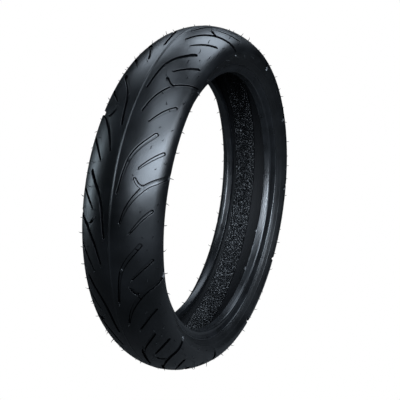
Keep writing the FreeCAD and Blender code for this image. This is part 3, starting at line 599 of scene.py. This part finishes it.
class Shader:
    """A node material under construction."""

    def __init__(self, name):
        self.material = bpy.data.materials.new(name)
        self.material.use_nodes = True
        self.tree = self.material.node_tree
        self.surface = self.tree.nodes["Principled BSDF"]
        self.where = self.add("ShaderNodeTexCoord").outputs["Object"]

    def add(self, kind, **inputs):
        """A new node with these inputs. An underscore in a name stands for a space."""
        node = self.tree.nodes.new(kind)
        for name, value in inputs.items():
            self.feed(node.inputs[name.replace("_", " ")], value)
        return node

    def feed(self, socket, value):
        """Links another node's output to the socket, or sets a fixed value."""
        if isinstance(value, bpy.types.NodeSocket):
            self.tree.links.new(value, socket)
        else:
            socket.default_value = value

    def noise(self, size, detail=3.0):
        """Cloudy noise whose features are this many millimetres across."""
        node = self.add("ShaderNodeTexNoise", Vector=self.where, Scale=1 / (size * METRE), Detail=detail)
        return node.outputs["Fac"]

    def cells(self, size):
        """Distance to the edges of cells that are about this many millimetres across."""
        node = self.add("ShaderNodeTexVoronoi", Vector=self.where, Scale=1 / (size * METRE))
        node.feature = "DISTANCE_TO_EDGE"
        return node.outputs["Distance"]

    def ramp(self, value, low, high, start=0.0, end=1.0):
        """Maps low..high onto start..end, clamped."""
        node = self.add("ShaderNodeMapRange", Value=value)
        for name, number in (("From Min", low), ("From Max", high), ("To Min", start), ("To Max", end)):
            self.feed(node.inputs[name], number)
        return node.outputs["Result"]

    def math(self, operation, first, second):
        """One sum with two values, such as MULTIPLY or ADD."""
        node = self.add("ShaderNodeMath")
        node.operation = operation
        self.feed(node.inputs[0], first)
        self.feed(node.inputs[1], second)
        return node.outputs[0]

    def blend(self, part, first, second):
        """Colour mixed from two others."""
        node = self.add("ShaderNodeMix")
        node.data_type = "RGBA"
        self.feed(node.inputs["Factor"], part)
        self.feed(node.inputs[6], first)
        self.feed(node.inputs[7], second)
        return node.outputs[2]

    def bump(self, height, depth, below=None):
        """Bump in millimetres of depth, on top of another bump if one is given."""
        node = self.add("ShaderNodeBump", Height=height, Distance=depth * METRE, Strength=1.0)
        if below is not None:
            self.feed(node.inputs["Normal"], below)
        return node.outputs["Normal"]

    def finish(self, colour, roughness, normal, **settings):
        """The finished material, with any other inputs of its surface given by name."""
        self.feed(self.surface.inputs["Base Color"], colour)
        self.feed(self.surface.inputs["Roughness"], roughness)
        self.feed(self.surface.inputs["Normal"], normal)
        for name, value in settings.items():
            self.feed(self.surface.inputs[name.replace("_", " ")], value)
        return self.material


def tread_rubber():
    """Satin black moulded rubber: bloom in clouds, dust specks, and painted shade on the grooves' dull walls.
    """
    shader = Shader("tread_rubber")
    cloud = shader.noise(60, 5)
    specks = shader.ramp(shader.noise(1.3, 2), 0.70, 0.80)
    patchy = shader.ramp(shader.noise(38, 3), 0.50, 0.68)
    dark, bloom = (0.001, 0.0012, 0.0014, 1), (0.0028, 0.0032, 0.0038, 1)
    colour = shader.blend(shader.ramp(cloud, 0.35, 0.7), dark, bloom)
    dust = shader.math("MULTIPLY", specks, patchy)
    colour = shader.blend(shader.math("MULTIPLY", dust, 0.35), colour, (0.10, 0.11, 0.12, 1))
    descent = shader.add("ShaderNodeAttribute")
    descent.attribute_name = "descent"
    below_edge = shader.ramp(descent.outputs["Fac"], 0.01, 0.08)
    above_floor = shader.ramp(descent.outputs["Fac"], 0.98, 1.0, 1.0, 0.0)
    wall = shader.math("MULTIPLY", below_edge, above_floor)
    # Painted shade: the groove walls are coloured near black where shade falls in the grooves, and are
    # rougher with no gloss.
    colour = shader.blend(wall, colour, (0.001, 0.001, 0.0012, 1))
    sheen = shader.ramp(cloud, 0.3, 0.75, 0.29, 0.41)
    roughness = shader.math("ADD", sheen, shader.math("MULTIPLY", wall, 0.35))
    gloss = shader.ramp(wall, 0.0, 1.0, 0.5, 0.0)
    waves = shader.bump(shader.noise(40, 2), 0.3)
    grain = shader.bump(shader.noise(0.8, 3), 0.035, below=waves)
    return shader.finish(colour, roughness, grain, IOR=1.5, Specular_IOR_Level=gloss)


def wall_rubber():
    """Sidewall rubber: smooth and very dark, with a little dust and faint moulding waves."""
    shader = Shader("sidewall_rubber")
    cloud = shader.noise(45, 4)
    specks = shader.ramp(shader.noise(1.1, 2), 0.68, 0.80)
    dark, bloom = (0.0008, 0.001, 0.0012, 1), (0.002, 0.0023, 0.0027, 1)
    colour = shader.blend(shader.ramp(cloud, 0.35, 0.7), dark, bloom)
    colour = shader.blend(shader.math("MULTIPLY", specks, 0.25), colour, (0.10, 0.11, 0.12, 1))
    roughness = shader.ramp(cloud, 0.3, 0.75, 0.34, 0.46)
    waves = shader.bump(shader.noise(14, 2), 0.22)
    grain = shader.bump(shader.noise(0.7, 3), 0.04, below=waves)
    return shader.finish(colour, roughness, grain, IOR=1.5)


def bead_rubber():
    """Hard rim strip rubber: a little greyer and glossier than the sidewall, rubbed by the mould."""
    shader = Shader("rim_strip_rubber")
    cloud = shader.noise(30, 4)
    dark, rubbed = (0.0025, 0.0028, 0.0032, 1), (0.005, 0.0056, 0.0065, 1)
    colour = shader.blend(shader.ramp(cloud, 0.35, 0.7), dark, rubbed)
    roughness = shader.ramp(cloud, 0.3, 0.75, 0.26, 0.36)
    waves = shader.bump(shader.noise(12, 2), 0.04)
    grain = shader.bump(shader.noise(0.9, 3), 0.03, below=waves)
    return shader.finish(colour, roughness, grain, IOR=1.55)


def liner_rubber():
    """The cavity's skin: smooth rubber, with two bands of crumbly grain from the curing bladder."""
    shader = Shader("liner_rubber")
    along = shader.add("ShaderNodeSeparateXYZ", Vector=shader.where).outputs["Y"]
    away = shader.math("ABSOLUTE", along, 0.0)
    begins = shader.ramp(away, GRAIN_START * METRE, (GRAIN_START + 1) * METRE)
    ends = shader.ramp(away, (GRAIN_END - 1) * METRE, GRAIN_END * METRE, 1.0, 0.0)
    band = shader.math("MULTIPLY", begins, ends)
    crumbs = shader.noise(3.9, 2)
    pebbles = shader.ramp(shader.cells(4.2), 0.0, 0.25)
    grain = shader.math("ADD", shader.math("MULTIPLY", pebbles, 0.5), crumbs)
    height = shader.math("MULTIPLY", grain, band)
    # Painted highlight: the raised tops of the grain are coloured lighter, as if they catch the light.
    painted_highlight_tops = shader.math("MULTIPLY", shader.ramp(crumbs, 0.46, 0.60), pebbles)
    colour = shader.blend(painted_highlight_tops, (0.001, 0.0011, 0.0013, 1), (0.005, 0.0056, 0.0067, 1))
    colour = shader.blend(band, (0.002, 0.0022, 0.0026, 1), colour)
    roughness = shader.math("ADD", shader.math("MULTIPLY", band, -0.28), 0.6)
    gloss = shader.ramp(band, 0.0, 1.0, 0.12, 0.34)
    normal = shader.bump(height, 1.7, below=shader.bump(shader.noise(20, 2), 0.3))
    return shader.finish(colour, roughness, normal, IOR=1.5, Specular_IOR_Level=gloss)


def hair_rubber():
    """Dull black rubber of the thin hairs."""
    shader = Shader("vent_rubber")
    colour = shader.blend(shader.noise(3, 2), (0.001, 0.001, 0.0012, 1), (0.006, 0.0065, 0.0075, 1))
    return shader.finish(colour, 0.6, shader.bump(shader.noise(0.5, 2), 0.05), Specular_IOR_Level=0.2)


# With this divisor one wave of the texture covers about two cords.
WAVE_DIVISOR = 6


def cord(name, dark, light, pitch, slant):
    """Rubbered cord: parallel cords laid at a slant, with rubber between them."""
    shader = Shader(name)
    scale = 1 / (pitch * METRE * WAVE_DIVISOR)
    wave = shader.add("ShaderNodeTexWave", Vector=shader.where, Scale=scale, Distortion=slant)
    ridge = wave.outputs["Fac"]
    colour = shader.blend(shader.math("MULTIPLY", ridge, shader.noise(4, 2)), dark, light)
    return shader.finish(colour, shader.ramp(ridge, 0, 1, 0.75, 0.5), shader.bump(ridge, 0.2))


def wire_steel():
    """Bronze-coated wire, drawn smooth."""
    shader = Shader("bead_steel")
    streaks = shader.noise(2.5, 3)
    colour = shader.blend(streaks, (0.42, 0.30, 0.16, 1), (0.60, 0.47, 0.28, 1))
    roughness = shader.ramp(streaks, 0.3, 0.7, 0.22, 0.4)
    return shader.finish(colour, roughness, shader.bump(streaks, 0.02), Metallic=1.0)


def hidden_rubber(name, dark, light):
    """Calendered rubber of an inside layer."""
    shader = Shader(name)
    cloud = shader.noise(12, 4)
    colour = shader.blend(cloud, dark, light)
    roughness = shader.ramp(cloud, 0.3, 0.7, 0.55, 0.75)
    return shader.finish(colour, roughness, shader.bump(shader.noise(1.2, 3), 0.06))


def paint_hidden_layers():
    """Materials for the CAD layers inside the tire, which keep their own shapes."""
    black = hidden_rubber("cushion_rubber", (0.010, 0.010, 0.011, 1), (0.022, 0.022, 0.024, 1))
    hard = hidden_rubber("filler_rubber", (0.006, 0.006, 0.006, 1), (0.016, 0.016, 0.017, 1))
    ply = cord("ply_cord", (0.02, 0.018, 0.015, 1), (0.14, 0.11, 0.07, 1), 0.9, 0.4)
    belt = cord("belt_cord", (0.03, 0.025, 0.015, 1), (0.42, 0.31, 0.08, 1), 1.1, 0.8)
    tape = cord("wrap_tape", (0.02, 0.019, 0.018, 1), (0.09, 0.085, 0.08, 1), 0.6, 0.2)
    steel = wire_steel()
    layers = {
        "tread_base": black, "belt_inner": belt, "belt_outer": belt,
        "carcass_ply_inner": ply, "carcass_ply_outer": ply,
    }
    for side in SIDE_NAMES.values():
        layers[f"belt_edge_strip_{side}"] = black
        layers[f"bead_filler_{side}"] = hard
        layers[f"bead_rubber_{side}"] = hard
        layers[f"bead_wrap_{side}"] = tape
        layers[f"bead_wires_{side}"] = steel
    for name, material in layers.items():
        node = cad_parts[name]
        node.data.materials.clear()
        node.data.materials.append(material)


# Starting points of the random draws for the hairs and the flash.
HAIR_SEED, FLASH_SEED = 5, 11


def add_tread_and_walls():
    """The tread and the two sidewalls, cut from one continuous moulded surface at the tread's edge."""
    points, descents, faces, arcs, sides = whole_pattern(pattern_patch())
    cap = faces[arcs < TREAD_EDGE]
    tread = add_piece("tread_surface", points, cap, tread_rubber(), ["tread_cap"], "tread_rubber")
    mark_descent(tread, points, descents)
    wall = wall_rubber()
    for side, name in SIDE_NAMES.items():
        top = points, faces[(arcs > TREAD_EDGE) & (sides == side)]
        whole = join([top, spin(wall_section(), side)])
        add_piece(f"sidewall_surface_{name}", *whole, wall, [f"sidewall_{name}"], "sidewall_rubber")


def mark_descent(item, points, descents):
    """Keeps its descent into a groove with each point of the mesh, for the material."""
    known = {tuple(key): value for key, value in zip(weld_keys(points), descents)}
    corners = np.array([vertex.co[:] for vertex in item.data.vertices])
    layer = item.data.attributes.new("descent", "FLOAT", "POINT")
    layer.data.foreach_set("value", [known.get(tuple(key), 0.0) for key in weld_keys(corners)])


def add_beads():
    """The two rim strips and the torn flash on the right one."""
    material = bead_rubber()
    for side, name in SIDE_NAMES.items():
        ring = spin(bead_section(), side)
        add_piece(f"bead_strip_{name}", *ring, material, [f"rim_strip_{name}"], "rim_strip_rubber")
    grid = flash(np.random.default_rng(FLASH_SEED))
    add_piece("bead_flash_torn", *grid, material, ["bead_flash_right"], "rim_strip_rubber")


def add_liner():
    """The cavity's skin, which faces inwards."""
    halves = []
    for side in (LEFT, RIGHT):
        points, faces = spin(liner_section(), side)
        halves.append((points, faces[:, ::-1]))
    add_piece("inner_liner_skin", *join(halves), liner_rubber(), ["inner_liner"], "liner_rubber")


def add_hairs():
    """The vent hairs of the tread and of the sidewalls' edges."""
    material = hair_rubber()
    for side, name in SIDE_NAMES.items():
        random = np.random.default_rng(HAIR_SEED + side)
        for place_name, grow in (("tread", tread_hairs), ("sidewall", edge_hairs)):
            parts = grow(side, random)
            node = f"{place_name}_vent_spews_{name}"
            add_piece(f"vent_hairs_{place_name}_{name}", *parts, material, [node], "vent_rubber")


# The floor, in metres: half its size, how far it lies below the tire, and the middle of its lighter patch,
# which is to the right of the tire's foot and fades out between two distances from there. The patch is a
# painted pool of light and the rest painted shade, seen only in the light the floor throws back on the tire.
FLOOR_HALF, FLOOR_DROP = 6.0, 0.001
FLOOR_LIGHT_POOL = (0.15, -0.15, -0.29)
FLOOR_LIGHT_POOL_EDGE = (0.30, 0.50)


def add_floor():
    """A plain floor, white to the camera, that throws back painted shade round a painted pool of light."""
    shader = Shader("floor_white")
    rays = shader.add("ShaderNodeLightPath").outputs["Is Camera Ray"]
    glow = shader.add("ShaderNodeEmission", Color=(1, 1, 1, 1), Strength=1.0)
    away = shader.add("ShaderNodeVectorMath", Vector=shader.where)
    away.operation = "DISTANCE"
    away.inputs[1].default_value = FLOOR_LIGHT_POOL
    dark = shader.ramp(away.outputs["Value"], *FLOOR_LIGHT_POOL_EDGE)
    # Painted pool of light near the tire's right foot and painted shade elsewhere, in the light thrown back
    # on the tire.
    colour = shader.blend(dark, (0.07, 0.07, 0.07, 1), (0.015, 0.015, 0.015, 1))
    shader.feed(shader.surface.inputs["Base Color"], colour)
    shader.feed(shader.surface.inputs["Roughness"], 0.9)
    mix = shader.add("ShaderNodeMixShader")
    shader.feed(mix.inputs[0], rays)
    shader.feed(mix.inputs[1], shader.surface.outputs["BSDF"])
    shader.feed(mix.inputs[2], glow.outputs["Emission"])
    shader.feed(shader.tree.nodes["Material Output"].inputs["Surface"], mix.outputs[0])
    height = cad_box[0][2] - FLOOR_DROP
    corners = [(x * FLOOR_HALF, y * FLOOR_HALF, height) for x, y in ((-1, -1), (1, -1), (1, 1), (-1, 1))]
    mesh = bpy.data.meshes.new("floor")
    mesh.from_pydata(corners, [], [(0, 1, 2, 3)])
    mesh.materials.append(shader.material)
    floor = bpy.data.objects.new("floor", mesh)
    bpy.context.scene.collection.objects.link(floor)


# Strength of the even light from all round.
ROOM_LIGHT = 0.004


def add_world():
    """Clean white for the camera, and a dim, even room for the light on the tire."""
    world = bpy.data.worlds.new("studio")
    bpy.context.scene.world = world
    world.use_nodes = True
    tree = world.node_tree
    seen = tree.nodes.new("ShaderNodeLightPath").outputs["Is Camera Ray"]
    white = tree.nodes.new("ShaderNodeBackground")
    white.inputs["Color"].default_value = (1, 1, 1, 1)
    room = tree.nodes["Background"]
    room.inputs["Color"].default_value = (0.92, 0.96, 1.0, 1)
    room.inputs["Strength"].default_value = ROOM_LIGHT
    mix = tree.nodes.new("ShaderNodeMixShader")
    tree.links.new(seen, mix.inputs[0])
    tree.links.new(room.outputs[0], mix.inputs[1])
    tree.links.new(white.outputs[0], mix.inputs[2])
    tree.links.new(mix.outputs[0], tree.nodes["World Output"].inputs["Surface"])


# Soft boxes: (azimuth and elevation as for the camera, distance, width and height in metres, watts, colour).
# The light is a cool white, in three tints.
COOL_LIGHT, PALE_LIGHT, SKY_LIGHT = (0.74, 0.86, 1.0), (0.78, 0.88, 1.0), (0.72, 0.88, 1.0)
LIGHTS = {
    "front": (-65, 28, 1.8, 0.8, 0.7, 28, COOL_LIGHT),
    "key": (-38, 28, 1.8, 0.8, 0.7, 37, COOL_LIGHT),
    "right": (-11, 28, 1.8, 0.8, 0.7, 17, PALE_LIGHT),
    "high": (-44, 58, 1.8, 1.0, 0.6, 12, COOL_LIGHT),
    "top": (-64, 84, 1.8, 0.6, 0.6, 3, COOL_LIGHT),
    "back_right": (75, 50, 1.9, 1.3, 1.0, 22, COOL_LIGHT),
    "back": (140, 50, 1.9, 1.0, 0.8, 8, COOL_LIGHT),
    "inside": (-118, 14, 0.28, 0.05, 0.3, 0.6, PALE_LIGHT),
    "back_left": (-170, 6, 1.8, 0.4, 1.2, 8, SKY_LIGHT),
}
# A lamp nearer than this stands close to the left wall and lights only what it faces, through the hole: its
# light spreads over this many degrees.
NEAR_DISTANCE, NEAR_SPREAD = 1.0, 70


def direction(azimuth, elevation):
    """The way out from the tire's centre: azimuth 0 is straight to the right, and -90 is towards -X."""
    across, up = math.radians(azimuth), math.radians(elevation)
    return Vector((math.sin(across) * math.cos(up), -math.cos(across) * math.cos(up), math.sin(up)))


def add_lights():
    """The soft boxes, which the camera does not see."""
    for name, (azimuth, elevation, distance, width, height, power, colour) in LIGHTS.items():
        data = bpy.data.lights.new(name, "AREA")
        data.shape = "RECTANGLE"
        data.size, data.size_y, data.energy, data.color = width, height, power, colour
        if distance < NEAR_DISTANCE:
            data.spread = math.radians(NEAR_SPREAD)
        lamp = bpy.data.objects.new(name, data)
        away = direction(azimuth, elevation)
        lamp.location = away * distance
        lamp.rotation_euler = away.to_track_quat("Z", "Y").to_euler()
        lamp.visible_camera = False
        bpy.context.scene.collection.objects.link(lamp)


# The camera: degrees and metres from the tire's centre, lens in millimetres, and shifts of the picture.
CAMERA_AZIMUTH, CAMERA_ELEVATION, CAMERA_DISTANCE = -64.06, 17.37, 1.4555
CAMERA_LENS, CAMERA_SHIFT = 76.5, (0.0036, -0.0022)


def add_camera():
    """The camera, aimed along the line to the tire's centre."""
    data = bpy.data.cameras.new("camera")
    data.lens, data.sensor_width = CAMERA_LENS, 36
    data.shift_x, data.shift_y = CAMERA_SHIFT
    camera = bpy.data.objects.new("camera", data)
    away = direction(CAMERA_AZIMUTH, CAMERA_ELEVATION)
    camera.location = away * CAMERA_DISTANCE
    camera.rotation_euler = away.to_track_quat("Z", "Y").to_euler()
    bpy.context.scene.collection.objects.link(camera)
    bpy.context.scene.camera = camera


add_tread_and_walls()
add_beads()
add_liner()
add_hairs()
paint_hidden_layers()
add_floor()
add_world()
add_lights()
add_camera()
bpy.context.scene.view_settings.view_transform = "Standard"
